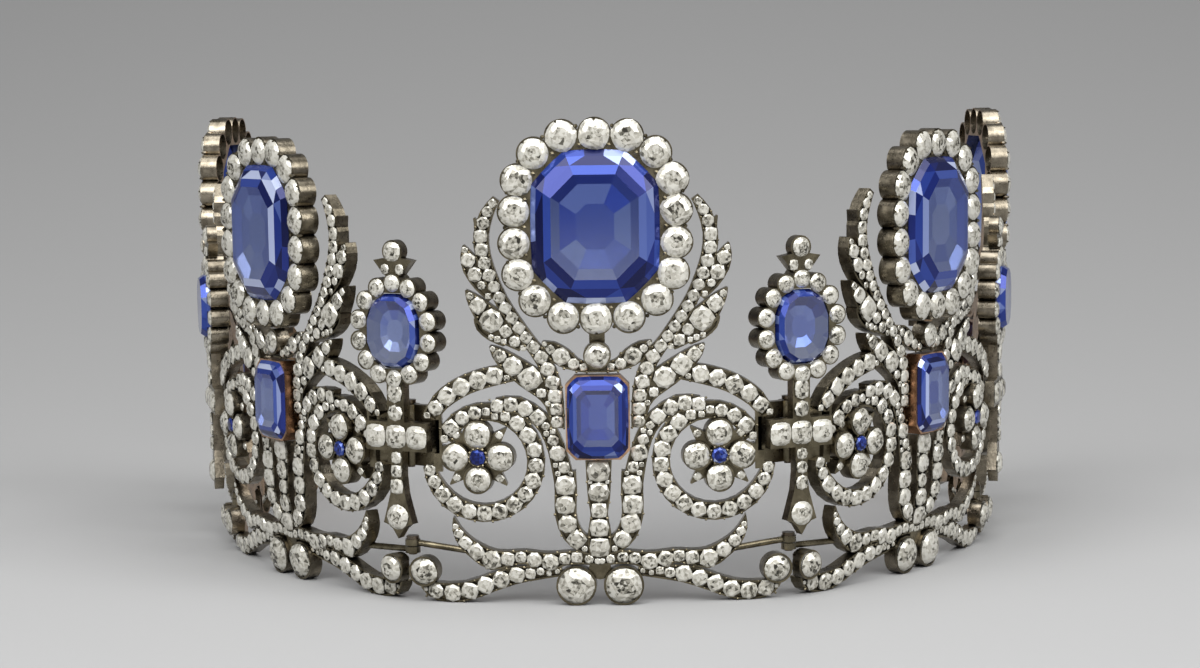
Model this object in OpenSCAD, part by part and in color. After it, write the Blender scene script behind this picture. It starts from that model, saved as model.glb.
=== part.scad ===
// A diadem of five hinged openwork panels, with a big octagonal stone over each panel
// and a small ornament over each hinge. Millimetres, standing on z = 0, front towards -Y.
// In a panel's own frame X runs along the panel, Y points out of the crown and Z is up.

/* [Plan] */
// Radius to which each panel's wall is curved
wall_r = 85.6; // [70:0.5:110]
// From a panel's middle to its hinge, along the panel
half_span = 23.5; // [21:0.25:26]
// Turn from the front panel to a side panel, degrees
front_turn = 53.3; // [48:0.5:56]
// Turn from a side panel to a rear panel, degrees
rear_turn = 42.7; // [36:0.5:48]

/* [Wall] */
// Thickness of the openwork wall
wall_t = 1.5; // [1.2:0.1:2.4]
// Height of the openwork, up to the tips of the leaf sprays
panel_h = 48; // [42:0.5:54]
// How far the foot of the wall leans in
flare = 1.96; // [0:0.1:3]
// Height over which the wall leans
flare_h = 25; // [15:1:30]
// Width of a plain ribbon of the openwork
band_w = 2.1; // [1.7:0.05:2.4]
// Depth of the channel that the small stones lie in
channel_d = 0.3; // [0.1:0.05:0.5]
// Width of the rim beside a channel
rim_w = 0.22; // [0.15:0.01:0.3]

/* [Volute and flower] */
// Radius of a volute's ribbon, at its middle line
volute_r = 6.05; // [5.5:0.05:6.5]
// From a flower's middle to the middle of a petal
petal_reach = 2.65; // [2.5:0.05:2.9]
// Radius of a petal's collet
petal_collet_r = 1.7; // [1.5:0.05:1.8]
// Radius of the collet of a flower's blue stone
heart_collet_r = 1.1; // [0.9:0.05:1.2]

/* [Base] */
// Radius of the pair of collets that the panel stands on
base_collet_r = 2.36; // [2:0.02:2.6]
// Radius of the round collet at each end of the base
end_collet_r = 1.8; // [1.5:0.05:1.9]
// Radius of the round collet over the rect stone
crest_collet_r = 1.6; // [1.3:0.05:1.7]
// Radius of the rail wire
wire_r = 0.38; // [0.3:0.02:0.45]

/* [Big stones] */
// Half the width of a big stone
big_u = 6.9; // [6:0.1:7.5]
// Half the height of a big stone
big_z = 8.35; // [7.5:0.1:9]
// Cut off each corner of a big stone
big_cut = 3.75; // [3:0.05:4.2]
// Middle of the front big stone below the tips of the leaf sprays
big_drop = 3.5; // [2:0.1:5]
// Depth of a big stone, from its widest line
big_depth = 2.6; // [2:0.1:3.2]
// From the side of a big stone to the middle of the halo stones beside it
halo_side = 2.35; // [2.25:0.01:2.6]
// From the top of a big stone to the middle of the halo stones above it
halo_head = 2.15; // [2.05:0.01:2.6]
// Radius of a halo collet
halo_collet_r = 1.95; // [1.85:0.01:2.1]
// Radius of a halo stone
halo_stone_r = 1.65; // [1.4:0.01:1.7]

/* [Rect stones] */
// Half the width of a rect stone
rect_u = 3.2; // [2.8:0.1:3.4]
// Half the height of a rect stone
rect_z = 4.42; // [4:0.1:4.6]
// Cut off each corner of a rect stone
rect_cut = 0.9; // [0.6:0.05:1.2]
// Depth of a rect stone, from its widest line
rect_depth = 1.6; // [1.2:0.1:2]
// Wall of its gold collet
rect_wall = 0.38; // [0.25:0.01:0.5]

/* [Hinges and finials] */
// From the face of the wall back to the hinge axis
axis_depth = 2.7; // [2.5:0.1:3.5]
// Radius of a hinge pin
pin_r = 0.5; // [0.4:0.05:0.6]
// Running clearance round a hinge pin
pin_play = 0.05; // [0.02:0.01:0.08]
// Wall of a knuckle round its pin
knuckle_wall = 0.6; // [0.4:0.05:0.8]
// Half the length of a finial's bar
bar_half = 4.15; // [3.6:0.05:4.3]
// Height of the middle of a finial's bar
bar_mid = 20; // [19:0.1:21]
// Half the width of an oval stone
oval_u = 3.6; // [3:0.1:4]
// Half the height of an oval stone
oval_z = 4.45; // [4:0.1:5]
// Height of the middle of an oval stone
oval_mid = 32.4; // [31:0.1:34]

/* [Fit] */
// Gap round every stone in its setting
stone_gap = 0.12; // [0.1:0.01:0.15]
// Gap between pieces that are seated on each other
seat_gap = 0.15; // [0.1:0.01:0.3]

/* [Hidden] */
PANELS = ["front", "left", "right", "rear_left", "rear_right"];
HINGES = ["left", "right", "rear_left", "rear_right"];

// Ribbons of the openwork. Each row is a point on the middle line:
// share of half_span from the middle, share of panel_h up, width as a share of band_w
ARC = [[0.84, 0.463, 0.85], [0.783, 0.502, 1.05], [0.715, 0.528, 1.1], [0.647, 0.546, 1.1],
    [0.566, 0.56, 1.1], [0.489, 0.569, 1.05], [0.41, 0.575, 0.9]];
CURL = [[0.168, 0.3, 1.15], [0.191, 0.358, 1.05], [0.226, 0.415, 0.95], [0.285, 0.462, 0.95],
    [0.396, 0.496, 0.95], [0.5, 0.494, 0.85]];
STEM = [[0, 0.36, 1.45], [0, 0.31, 1.35], [0, 0.26, 1.2], [0, 0.225, 0.95], [0, 0.18, 1.3], [0, 0.13, 1.2]];
YOKE = [[0.168, 0.333, 1.24], [0.164, 0.281, 1.24], [0.166, 0.225, 1.2], [0.136, 0.179, 1.15],
    [0.077, 0.152, 1.05], [-0.02, 0.14, 1.05]];
SPINE = [[0.485, 0.994, 0.45], [0.532, 0.958, 0.75], [0.562, 0.908, 0.85], [0.553, 0.854, 0.85],
    [0.517, 0.802, 0.8], [0.468, 0.75, 0.75], [0.404, 0.7, 0.75], [0.332, 0.65, 0.75],
    [0.264, 0.604, 0.85], [0.221, 0.552, 0.9], [0.204, 0.496, 0.85], [0.2, 0.44, 0.8]];
LEAF_TOP = [[0.596, 0.948, 0.08], [0.574, 0.927, 0.5], [0.562, 0.9, 0.7]];
LEAF_HIGH = [[0.651, 0.883, 0.08], [0.638, 0.862, 0.67], [0.611, 0.831, 1.1], [0.553, 0.796, 1.3],
    [0.494, 0.762, 1.05]];
LEAF_MID = [[0.643, 0.775, 0.08], [0.621, 0.76, 0.55], [0.579, 0.735, 1.05], [0.515, 0.7, 1.43],
    [0.434, 0.671, 1.38], [0.357, 0.644, 0.95]];
LEAF_THORN = [[0.604, 0.706, 0.06], [0.579, 0.685, 0.4], [0.523, 0.665, 0.57], [0.451, 0.65, 0.57]];
LEAF_LOW = [[0.528, 0.64, 0.08], [0.498, 0.625, 0.67], [0.438, 0.6, 1.1], [0.353, 0.569, 1.33],
    [0.26, 0.537, 1.33], [0.217, 0.498, 0.95], [0.202, 0.454, 0.76]];
SPRIG = [[0.268, 0.65, 0.1], [0.232, 0.633, 0.9], [0.162, 0.61, 1.05], [0.106, 0.594, 0.7],
    [0.055, 0.588, 0.6], [-0.02, 0.59, 0.65]];
RIBBON_HIGH = [[0.728, 0.217, 0.06], [0.715, 0.187, 0.52], [0.677, 0.156, 0.81], [0.617, 0.131, 1],
    [0.536, 0.11, 1.19], [0.451, 0.115, 0.86], [0.37, 0.119, 0.81], [0.272, 0.106, 1.14],
    [0.183, 0.115, 0.81], [0.094, 0.119, 0.81], [-0.02, 0.115, 0.86]];
RIBBON_LOW = [[0.19, 0.085, 0.6], [0.315, 0.079, 0.81], [0.425, 0.073, 1.05], [0.545, 0.052, 1.05],
    [0.664, 0.03, 1.1], [0.774, 0.024, 1.12], [0.855, 0.032, 0.9], [0.898, 0.052, 0.48]];
POST = [[0.8, 0.33, 0.5], [0.8, 0.49, 0.5]];
// From the one that lies uppermost, where they cross, to the one that lies lowest
RIBBONS = [STEM, YOKE, SPINE, CURL, LEAF_LOW, LEAF_MID, LEAF_HIGH, LEAF_TOP, LEAF_THORN, SPRIG, ARC,
    RIBBON_HIGH, RIBBON_LOW, POST];
RIBBON_STEPS = 2;

// Middle of a volute and of its flower, as shares of half_span and panel_h
VOLUTE_AT = [0.566, 0.358];
FLOWER_AT = [0.598, 0.369];
END_AT = [0.885, 0.079];
CREST_AT = [0, 0.617];
RECT_AT = [0, 0.468];
LINK_AT = [0, 0.09];
volute_mid = [VOLUTE_AT[0] * half_span, VOLUTE_AT[1] * panel_h];
flower_mid = [FLOWER_AT[0] * half_span, FLOWER_AT[1] * panel_h];
end_mid = [END_AT[0] * half_span, END_AT[1] * panel_h];
crest_mid = [CREST_AT[0] * half_span, CREST_AT[1] * panel_h];
link_mid = [LINK_AT[0] * half_span, LINK_AT[1] * panel_h];
rect_mid = RECT_AT[1] * panel_h;
big_mid = panel_h - big_drop;
link_r = 1.3;
base_mid = [base_collet_r + 0.42, base_collet_r];

// Cut stones, as shares of their radius
table_share = 0.56;
crown_share = 0.34;
pavilion_share = 0.85;
// How far a collet stands out of the wall, and a stone's widest line out of its collet
collet_proud = 0.5;
girdle_sink = 0.3;

// Halo stones of one quarter, as shares of the ring's half width and half height
HALO_QUARTER = [[0.405, 0.981], [0.751, 0.795], [0.957, 0.51], [1, 0.174]];
halo_u = big_u + halo_side;
halo_z = big_z + halo_head;
halo_front = 1.5;
halo_back = -0.7;
big_sink = 0.35;
rect_front = 0.8;
rect_back = -1.2;
rect_sink = 0.25;
// Panel, turn of its halo's size, height of its big stone above the front one
HALO_SIZE = [["front", 1, 0], ["side", 0.94, -1.35], ["rear", 0.97, 0.3]];
// Step cut: share of the outline and depth out of the widest line, as shares of depth
STEPS = [[0.66, 0.75], [0.84, 0.5], [1, 0.04], [1, -0.04], [0.72, -0.55], [0.4, -0.95]];

wall_strips = 6;
// Further back than any point of the wall
cut_reach = bow(half_span) + lean_in(0) + 3 * wall_t;
wall_rows = [1, 0.42, -0.02];

// Hinge: heights as shares of panel_h
LEAF_FOOT = 0.34;
LEAF_HEAD = 0.49;
KNUCKLE_LOW = 0.385;
KNUCKLE_HIGH = 0.448;
EYE_FOOT = 0.119;
EYE_MID = 0.136;
EYE_HEAD = 0.153;
knuckle_gap = 0.12;
leaf_t = 1;
eye_wall = 0.4;
post_u = POST[0][0] * half_span;
// How deep a hinge leaf is let into the back of the wall
leaf_bite = 0.6;
leaf_root = [post_u, -bow(post_u) - wall_t + leaf_bite - leaf_t / 2];

// Finial: plate and collets, measured out from the face of the wall at the hinge
finial_back = -0.8;
finial_front = 0.45;
cluster_back = -1.6;
bar_z = 1.7;
bar_room = 0.75;
cluster_collet_r = 1.2;
cluster_stone_r = 0.86;
cluster_count = 14;
cluster_u = oval_u + 1.22;
cluster_z = oval_z + 1.1;
pendant_collet_r = 1.6;
top_collet_r = 1.35;

function bow(u) = wall_r - sqrt(wall_r * wall_r - u * u);
function lean_in(z) = z < flare_h ? flare * pow(1 - z / flare_h, 2) : 0;
function face(u, z) = -bow(u) - lean_in(z);
function rot2(v, a) = [v[0] * cos(a) - v[1] * sin(a), v[0] * sin(a) + v[1] * cos(a)];
function superoval(a, hu, hz, n) = [hu * sign(cos(a)) * pow(abs(cos(a)), 2 / n),
    hz * sign(sin(a)) * pow(abs(sin(a)), 2 / n)];

// Plan of the chain of panels: middle of each panel's face and its turn
joint_in = [half_span, -bow(half_span)];
joint_out = [-half_span, -bow(half_span)];
front_at = [0, 0];
side_at = front_at + joint_plan(0) - turned(joint_out, front_turn);
rear_at = side_at + turned(joint_in, front_turn) - turned(joint_out, front_turn + rear_turn);
// A panel's own X and Y, turned round the crown by a
function turned(v, a) = [v[0] * cos(a) + v[1] * sin(a), v[0] * sin(a) - v[1] * cos(a)];
function joint_plan(a) = turned(joint_in, a);
rear_angle = front_turn + rear_turn;
hinge_one = front_at + joint_plan(0);
hinge_two = side_at + turned(joint_in, front_turn);
rear_reach = rear_at[1] + turned([end_mid[0] + end_collet_r * cos(asin(end_mid[0] / wall_r)),
    face(end_mid[0], end_mid[1]) - end_collet_r * sin(asin(end_mid[0] / wall_r))], rear_angle)[1];
front_reach = halo_front - big_sink + big_depth * STEPS[0][1];
// Brings the middle of the whole crown's depth to y = 0
plan_shift = (front_reach - rear_reach) / 2;

// Hinge axis in a panel's frame, for half of the turn at that hinge
function axis_at(half_turn) = joint_in - axis_depth * [sin(half_turn), cos(half_turn)];

function curve(a, b, c, d, t) = 0.5 * (2 * b + (c - a) * t + (2 * a - 5 * b + 4 * c - d) * t * t
    + (3 * b - a - 3 * c + d) * t * t * t);
function smooth(p, n) = let (m = len(p) - 1) [
    for (i = [0:m - 1], k = [0:n - 1]) curve(p[max(i - 1, 0)], p[i], p[i + 1], p[min(i + 2, m)], k / n),
    p[m]];
function sized(rows) = [for (r = rows) [r[0] * half_span, r[1] * panel_h, r[2] * band_w / 2]];
function side_of(c, i, s) = let (m = len(c) - 1, d = c[min(i + 1, m)] - c[max(i - 1, 0)],
    l = norm([d[0], d[1]])) [c[i][0] - s * c[i][2] * d[1] / l, c[i][1] + s * c[i][2] * d[0] / l];
// The volute's middle line opens out at its foot and tightens at its inner end
function volute_line(n) = [for (i = [0:n]) let (t = i / n, a = -6 - 325 * t,
    r = volute_r + 0.6 * pow(1 - t, 4) - 0.75 * pow(t, 6)) [volute_mid[0] + r * cos(a),
    volute_mid[1] + r * sin(a), band_w / 2 * (t < 0.1 ? 0.7 + 3 * t : 1)]];

function widest(line) = max([for (p = line) p[2]]);
ribbon_lines = concat([for (r = RIBBONS) smooth(sized(r), RIBBON_STEPS)], [volute_line(24)]);

module ribbon(line) {
    m = len(line) - 1;
    polygon(concat([for (i = [0:m]) side_of(line, i, 1)], [for (i = [m:-1:0]) side_of(line, i, -1)]));
}

module mirrored() {
    children();
    mirror([1, 0]) children();
}

module strut(a, b, w) {
    d = b - a;
    translate(a) rotate(atan2(d[1], d[0])) translate([0, -w / 2]) square([norm(d), w]);
}

module openwork() {
    intersection() {
        mirrored() {
            for (line = ribbon_lines) ribbon(line);
            translate(flower_mid) {
                for (a = [45:90:315]) ribbon([for (k = [[1, 1], [3.2, 0.95], [4.75, 0.12]])
                    [k[0] * cos(a), k[0] * sin(a), k[1] * band_w / 2 * 0.7]]);
                strut([0, 0], [0, volute_r - 0.3], band_w * 0.6);
                strut([0, 0], [petal_reach + 1.6, 0.6], band_w * 0.6);
            }
            translate(base_mid) circle(base_collet_r - 0.3, $fn = 20);
            translate(end_mid) circle(end_collet_r - 0.3, $fn = 20);
            translate(link_mid) circle(link_r, $fn = 20);
            translate(crest_mid) circle(crest_collet_r - 0.3, $fn = 20);
        }
        translate([-half_span, 0]) square([2 * half_span, panel_h]);
    }
}

// What the wall leaves free for the halo, the rect collet and the finials' bars
module rooms(k) {
    s = HALO_SIZE[k][1];
    translate([0, big_mid + HALO_SIZE[k][2]]) {
        for (c = halo_ring(s)) translate(c) circle(halo_collet_r * s + seat_gap, $fn = 20);
        polygon(octagon(halo_u * s, halo_z * s, big_cut * s + 0.9));
    }
    translate([0, rect_mid]) polygon(rect_outline(rect_wall + seat_gap));
    mirrored() translate([half_span - bar_half - bar_room, bar_mid - bar_z - seat_gap * 2])
        square([bar_half + bar_room * 4, 2 * bar_z + seat_gap * 4]);
}

// The floor of each ribbon between its rims, stopped where a higher ribbon crosses it
module channels() {
    mirrored() for (i = [0:len(ribbon_lines) - 1]) if (widest(ribbon_lines[i]) > 2.5 * rim_w) difference() {
        offset(delta = -rim_w) ribbon(ribbon_lines[i]);
        for (j = [0:1:i - 1]) ribbon(ribbon_lines[j]);
    }
}

module seats() {
    for (s = stone_seats()) translate([s[0], s[1]]) circle(s[2] + stone_gap, $fn = 18);
}

// Stones that a panel carries in round collets: across, up, stone radius, collet radius
function petal(k) = [flower_mid[0] + petal_reach * cos(90 * k), flower_mid[1] + petal_reach * sin(90 * k)];
function seat_row(at, collet_r) = [at[0], at[1], collet_r - 0.25 - stone_gap, collet_r];
function half_seats() = concat([seat_row(base_mid, base_collet_r), seat_row(end_mid, end_collet_r)],
    [for (k = [0:3]) seat_row(petal(k), petal_collet_r)]);
function stone_seats() = concat(half_seats(), [for (s = half_seats()) [-s[0], s[1], s[2], s[3]]],
    [seat_row(crest_mid, crest_collet_r)]);
function heart_seats() = [for (s = [-1, 1]) [s * flower_mid[0], flower_mid[1],
    heart_collet_r - 0.2 - stone_gap, heart_collet_r]];

// Puts a child, drawn looking along +Y, on the wall's face
module on_wall(u, z) {
    translate([u, face(u, z), z]) rotate([0, 0, -asin(u / wall_r)]) children();
}

// The curved wall before it is pierced: flat strips, each a few degrees round from the last
function wall_row(z, front, back) = let (lean = lean_in(z), w = half_span + 1, n = wall_strips) concat(
    [for (i = [0:n]) let (u = w * (2 * i / n - 1)) [u, front - bow(u) - lean, z]],
    [for (i = [n:-1:0]) let (u = w * (2 * i / n - 1)) [u, back - bow(u) - lean, z]]);

module wall_solid(front, back) {
    lofted([for (z = concat([panel_h + 1], flare_h * wall_rows)) wall_row(z, front, back)]);
}

module upright(y0, y1) {
    translate([0, y1, 0]) rotate([90, 0, 0]) linear_extrude(y1 - y0) children();
}

module wall_cut(k) {
    difference() {
        intersection() {
            upright(-cut_reach, 1) offset(delta = 0.001) difference() {
                openwork();
                rooms(k);
                offset(delta = 0.02) seats();
            }
            wall_solid(0, -wall_t);
        }
        intersection() {
            upright(-cut_reach, 2) offset(delta = 0.05) offset(delta = -0.05) channels();
            wall_solid(1, -channel_d);
        }
    }
}

module collet(s, back) {
    on_wall(s[0], s[1]) rotate([-90, 0, 0]) translate([0, 0, back])
        cylinder(r = s[3], h = collet_proud - back, $fn = 48);
}

module collet_bore(s) {
    on_wall(s[0], s[1]) rotate([-90, 0, 0]) translate([0, 0, -cut_reach / 2])
        cylinder(r = s[2] + stone_gap, h = cut_reach, $fn = 48);
}

// One side's hinge: a leaf behind the bar, knuckles on the axis and an eye on the rail wire
module hinge_leaf(half_turn, outer) {
    x = axis_at(half_turn);
    p = leaf_root;
    along = (x - p) / norm(x - p);
    leaf_z = [LEAF_FOOT * panel_h, LEAF_HEAD * panel_h];
    knuckle_r = pin_r + pin_play + knuckle_wall;
    tabs = outer ? [[leaf_z[0], KNUCKLE_LOW * panel_h - knuckle_gap / 2],
        [KNUCKLE_HIGH * panel_h + knuckle_gap / 2, leaf_z[1]]]
        : [[KNUCKLE_LOW * panel_h + knuckle_gap / 2, KNUCKLE_HIGH * panel_h - knuckle_gap / 2]];
    eye = outer ? [EYE_MID * panel_h + knuckle_gap / 2, EYE_HEAD * panel_h]
        : [EYE_FOOT * panel_h, EYE_MID * panel_h - knuckle_gap / 2];
    translate([0, 0, leaf_z[0]]) linear_extrude(leaf_z[1] - leaf_z[0])
        strut(p, x - along * (knuckle_r + 0.45), leaf_t);
    for (t = tabs) translate([0, 0, t[0]]) linear_extrude(t[1] - t[0]) {
        strut(p, x, leaf_t);
        translate(x) circle(knuckle_r, $fn = 48);
    }
    translate([x[0], x[1], eye[0]]) cylinder(r = pin_r + eye_wall, h = eye[1] - eye[0], $fn = 48);
    rail(x, (eye[0] + eye[1]) / 2);
}

// The rail wire, from the hinge down to behind the high ribbon
module rail(x, z) {
    foot_z = RIBBON_HIGH[5][1] * panel_h;
    foot = [RIBBON_HIGH[5][0] * half_span, face(RIBBON_HIGH[5][0] * half_span, foot_z) - wall_t * 0.7];
    d = foot - x;
    translate([x[0], x[1], z]) rotate([0, 0, atan2(d[1], d[0])])
        rotate([0, 90 + atan2(z - foot_z, norm(d)), 0])
        cylinder(r = wire_r, h = norm([d[0], d[1], z - foot_z]), $fn = 32);
}

module hinge_bore(half_turn) {
    x = axis_at(half_turn);
    translate([x[0], x[1], 0]) cylinder(r = pin_r + pin_play, h = panel_h, $fn = 48);
}

// Behind the halo, the tongue that carries it
module tongue(k) {
    foot = crest_mid[1] - crest_collet_r;
    head = big_mid + HALO_SIZE[k][2] - halo_z * HALO_SIZE[k][1] + halo_collet_r * 0.6;
    translate([-tongue_w / 2, halo_back - seat_gap - tongue_t, foot]) cube([tongue_w, tongue_t, head - foot]);
}

module frame(k, in_turn, in_outer, out_turn) {
    color([0.62, 0.6, 0.55]) difference() {
        union() {
            wall_cut(k);
            for (s = stone_seats()) collet(s, -wall_t * 0.8);
            for (s = heart_seats()) collet(s, -wall_t * 0.8);
            tongue(k);
            if (in_turn > 0) mirror([1, 0, 0]) hinge_leaf(in_turn / 2, in_outer);
            if (out_turn > 0) hinge_leaf(out_turn / 2, true);
        }
        for (s = stone_seats()) collet_bore(s);
        for (s = heart_seats()) collet_bore(s);
        if (in_turn > 0) mirror([1, 0, 0]) hinge_bore(in_turn / 2);
        if (out_turn > 0) hinge_bore(out_turn / 2);
    }
}

tongue_w = 1.8;
tongue_t = 1.2;

function octagon(hu, hz, cut) = [[hu, hz - cut], [hu - cut, hz], [cut - hu, hz], [-hu, hz - cut],
    [-hu, cut - hz], [cut - hu, -hz], [hu - cut, -hz], [hu, cut - hz]];

function halo_ring(k) = concat([[0, halo_z * k], [0, -halo_z * k]],
    [for (q = HALO_QUARTER, su = [-1, 1], sz = [-1, 1]) [su * q[0] * halo_u * k, sz * q[1] * halo_z * k]]);

module at_halo(k) {
    translate([0, 0, big_mid + HALO_SIZE[k][2]]) children();
}

module halo(k) {
    s = HALO_SIZE[k][1];
    color([0.62, 0.6, 0.55]) at_halo(k) upright(halo_back, halo_front) difference() {
        union() {
            for (c = halo_ring(s)) translate(c) circle(halo_collet_r * s, $fn = 48);
            polygon(octagon(halo_u * s - 0.6, halo_z * s - 0.6, big_cut * s + 0.9));
        }
        for (c = halo_ring(s)) translate(c) circle((halo_stone_r + stone_gap) * s, $fn = 48);
        polygon(octagon(big_u * s + stone_gap, big_z * s + stone_gap, big_cut * s + stone_gap * 0.6));
    }
}

// A solid through like rings of points, closed at both ends
module lofted(rings) {
    n = len(rings[0]);
    m = len(rings) - 1;
    polyhedron(points = [for (r = rings, p = r) p], faces = concat(
        [[for (i = [0:n - 1]) i]],
        [[for (i = [n - 1:-1:0]) m * n + i]],
        [for (k = [0:m - 1], i = [0:n - 1]) let (j = (i + 1) % n)
            [k * n + i, (k + 1) * n + i, (k + 1) * n + j, k * n + j]]));
}

module step_cut(outline, depth) {
    lofted([for (s = STEPS) [for (p = outline) [p[0] * s[0], depth * s[1], p[1] * s[0]]]]);
}

// Round cut: a table, eight facets round it and a pavilion of eight, looking along +Y
module brilliant(r) {
    rotate([-90, 0, 0]) {
        cylinder(r1 = r, r2 = r * table_share, h = r * crown_share, $fn = 8);
        translate([0, 0, -r * pavilion_share]) cylinder(r1 = 0, r2 = r, h = r * pavilion_share, $fn = 8);
    }
}

module big_sapphire(k) {
    s = HALO_SIZE[k][1];
    color([0.12, 0.22, 0.7]) at_halo(k) translate([0, halo_front - big_sink, 0])
        step_cut(octagon(big_u * s, big_z * s, big_cut * s), big_depth);
}

module halo_diamonds(k) {
    s = HALO_SIZE[k][1];
    color([0.92, 0.93, 0.93]) at_halo(k)
        for (c = halo_ring(s)) translate([c[0], halo_front - 0.1, c[1]]) brilliant(halo_stone_r * s);
}

// Outline of the opening for a rect stone, or of what stands round it
function rect_outline(grow) = let (w = stone_gap + grow)
    octagon(rect_u + w, rect_z + w, rect_cut + grow / 2);

module rect_collet() {
    color([0.8, 0.6, 0.42]) translate([0, 0, rect_mid]) upright(rect_back, rect_front) difference() {
        polygon(rect_outline(rect_wall));
        polygon(rect_outline(0));
    }
}

module rect_sapphire() {
    color([0.12, 0.22, 0.7]) translate([0, rect_front - rect_sink, rect_mid])
        step_cut(octagon(rect_u, rect_z, rect_cut), rect_depth);
}

module seated_stones(rows) {
    for (s = rows) on_wall(s[0], s[1]) translate([0, collet_proud - girdle_sink, 0]) brilliant(s[2]);
}

module panel_diamonds() {
    color([0.92, 0.93, 0.93]) seated_stones(stone_seats());
}

module flower_sapphires() {
    color([0.12, 0.22, 0.7]) seated_stones(heart_seats());
}

// Finial outlines: half width as a share of the pendant's collet, share of the drop below the bar
PENDANT = [[0.5, 0], [0.48, 0.3], [0.62, 0.5], [0.95, 0.68], [1.25, 0.83], [0.6, 0.86], [0, 1]];
pendant_drop = 10.6;
pendant_at = [0, bar_mid - bar_z - pendant_drop * 0.74];
top_rise = 3.7;
top_at = [0, oval_mid + cluster_z + top_rise];
// A leaf under the top collet: across and above the cluster, as shares of top_rise
TOP_LEAF = [[0, 0.108], [0.324, 0.27], [0.703, 0.73], [0.243, 0.811], [0, 1]];
function cluster_at(i) = [cluster_u * cos(90 + 360 * i / cluster_count),
    oval_mid + cluster_z * sin(90 + 360 * i / cluster_count)];

function bar_stones() = [for (k = [-1:1]) [k * bar_half * 0.64, bar_mid, 1.15]];
function finial_stones() = concat([for (i = [0:cluster_count - 1]) concat(cluster_at(i), [cluster_stone_r])],
    bar_stones(), [[pendant_at[0], pendant_at[1], pendant_collet_r - 0.35]],
    [[top_at[0], top_at[1], top_collet_r - 0.35]]);

module finial_outline() {
    foot = bar_mid - bar_z;
    translate([-bar_half, bar_mid - bar_z]) square([2 * bar_half, 2 * bar_z]);
    strut([0, bar_mid], [0, oval_mid - oval_z - 0.4], 2.3);
    polygon(concat([for (r = PENDANT) [r[0] * pendant_collet_r, foot + 0.2 - r[1] * pendant_drop]],
        [for (i = [len(PENDANT) - 2:-1:0]) [-PENDANT[i][0] * pendant_collet_r,
        foot + 0.2 - PENDANT[i][1] * pendant_drop]]));
    translate(pendant_at) circle(pendant_collet_r, $fn = 48);
    translate(top_at) circle(top_collet_r, $fn = 48);
    strut([0, oval_mid + oval_z + 0.4], top_at, 1.6);
    for (s = [-1, 1]) polygon([for (r = TOP_LEAF)
        [s * r[0] * top_rise, top_at[1] - (1 - r[1]) * top_rise]]);
}

module cluster_outline() {
    for (i = [0:cluster_count - 1]) translate(cluster_at(i)) circle(cluster_collet_r, $fn = 48);
    translate([0, oval_mid]) polygon([for (a = [0:15:345]) superoval(a, cluster_u - 0.2, cluster_z - 0.2, 2)]);
}

module finial_cuts() {
    for (s = finial_stones()) translate([s[0], s[1]]) circle(s[2] + stone_gap, $fn = 48);
    translate([0, oval_mid]) polygon(oval_outline(stone_gap));
}

function oval_outline(grow) = [for (a = [15:30:345]) superoval(a, oval_u + grow, oval_z + grow, 2.5)];

// A point of a panel's plan seen from the bar over its hinge: along the bar, out of the crown
function in_bar(q, half_turn) = let (d = q - joint_in, h = half_turn)
    [d[0] * cos(h) - d[1] * sin(h), d[0] * sin(h) + d[1] * cos(h)];
// How far out the hinge leaf reaches behind the bar's end
function leaf_front(half_turn) = let (root = in_bar(leaf_root, half_turn),
    slope = (root[1] + axis_depth) / -root[0])
    slope * bar_half - axis_depth + leaf_t / 2 * sqrt(1 + slope * slope);

module finial(half_turn) {
    seat_y = leaf_front(half_turn) + seat_gap;
    color([0.62, 0.6, 0.55]) union() {
        upright(finial_back, finial_front) difference() { finial_outline(); finial_cuts(); }
        upright(cluster_back, finial_front + 0.2) difference() { cluster_outline(); finial_cuts(); }
        upright(seat_y, finial_back + 0.1) translate([-bar_half, bar_mid - bar_z * 0.6])
            square([1.2, bar_z * 1.2]);
    }
}

module oval_sapphire() {
    color([0.12, 0.22, 0.7]) translate([0, finial_front - 0.2, oval_mid]) step_cut(oval_outline(0), 1.9);
}

module finial_diamonds() {
    color([0.92, 0.93, 0.93]) for (s = finial_stones())
        translate([s[0], finial_front + (s[1] > oval_mid - cluster_z - 1 ? 0.1 : -0.1), s[1]]) brilliant(s[2]);
}

module hinge_pin() {
    spans = [[LEAF_FOOT * panel_h - 0.3, LEAF_HEAD * panel_h + 0.3],
        [EYE_FOOT * panel_h - 0.2, EYE_HEAD * panel_h + 0.2]];
    color([0.5, 0.48, 0.44]) for (s = spans) translate([0, -axis_depth, 0]) {
        translate([0, 0, s[0]]) cylinder(r = pin_r, h = s[1] - s[0], $fn = 48);
        translate([0, 0, s[1] - 0.2]) cylinder(r = pin_r + 0.25, h = 0.4, $fn = 48);
    }
}

// Places of the panels and hinges in the crown
module standing(at, a) {
    translate([at[0], at[1] + plan_shift, 0]) rotate([0, 0, a]) mirror([0, 1, 0]) children();
}

function sign_of(name) = (name == "left" || name == "rear_left") ? -1 : 1;
function row_of(name) = name == "front" ? 0 : (name == "left" || name == "right") ? 1 : 2;

module sided(name) {
    if (sign_of(name) < 0) mirror([1, 0, 0]) children();
    else children();
}

module at_panel(name) {
    k = row_of(name);
    sided(name) standing([front_at, side_at, rear_at][k], [0, front_turn, rear_angle][k]) children();
}

module at_hinge(name) {
    first = row_of(name) == 1;
    sided(name) standing(first ? hinge_one : hinge_two, first ? front_turn / 2 : front_turn + rear_turn / 2)
        children();
}

function half_turn_of(name) = (row_of(name) == 1 ? front_turn : rear_turn) / 2;

module frame_of(name) {
    k = row_of(name);
    if (k == 0) frame(k, front_turn, true, front_turn);
    if (k == 1) frame(k, front_turn, false, rear_turn);
    if (k == 2) frame(k, rear_turn, false, 0);
}

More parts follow.
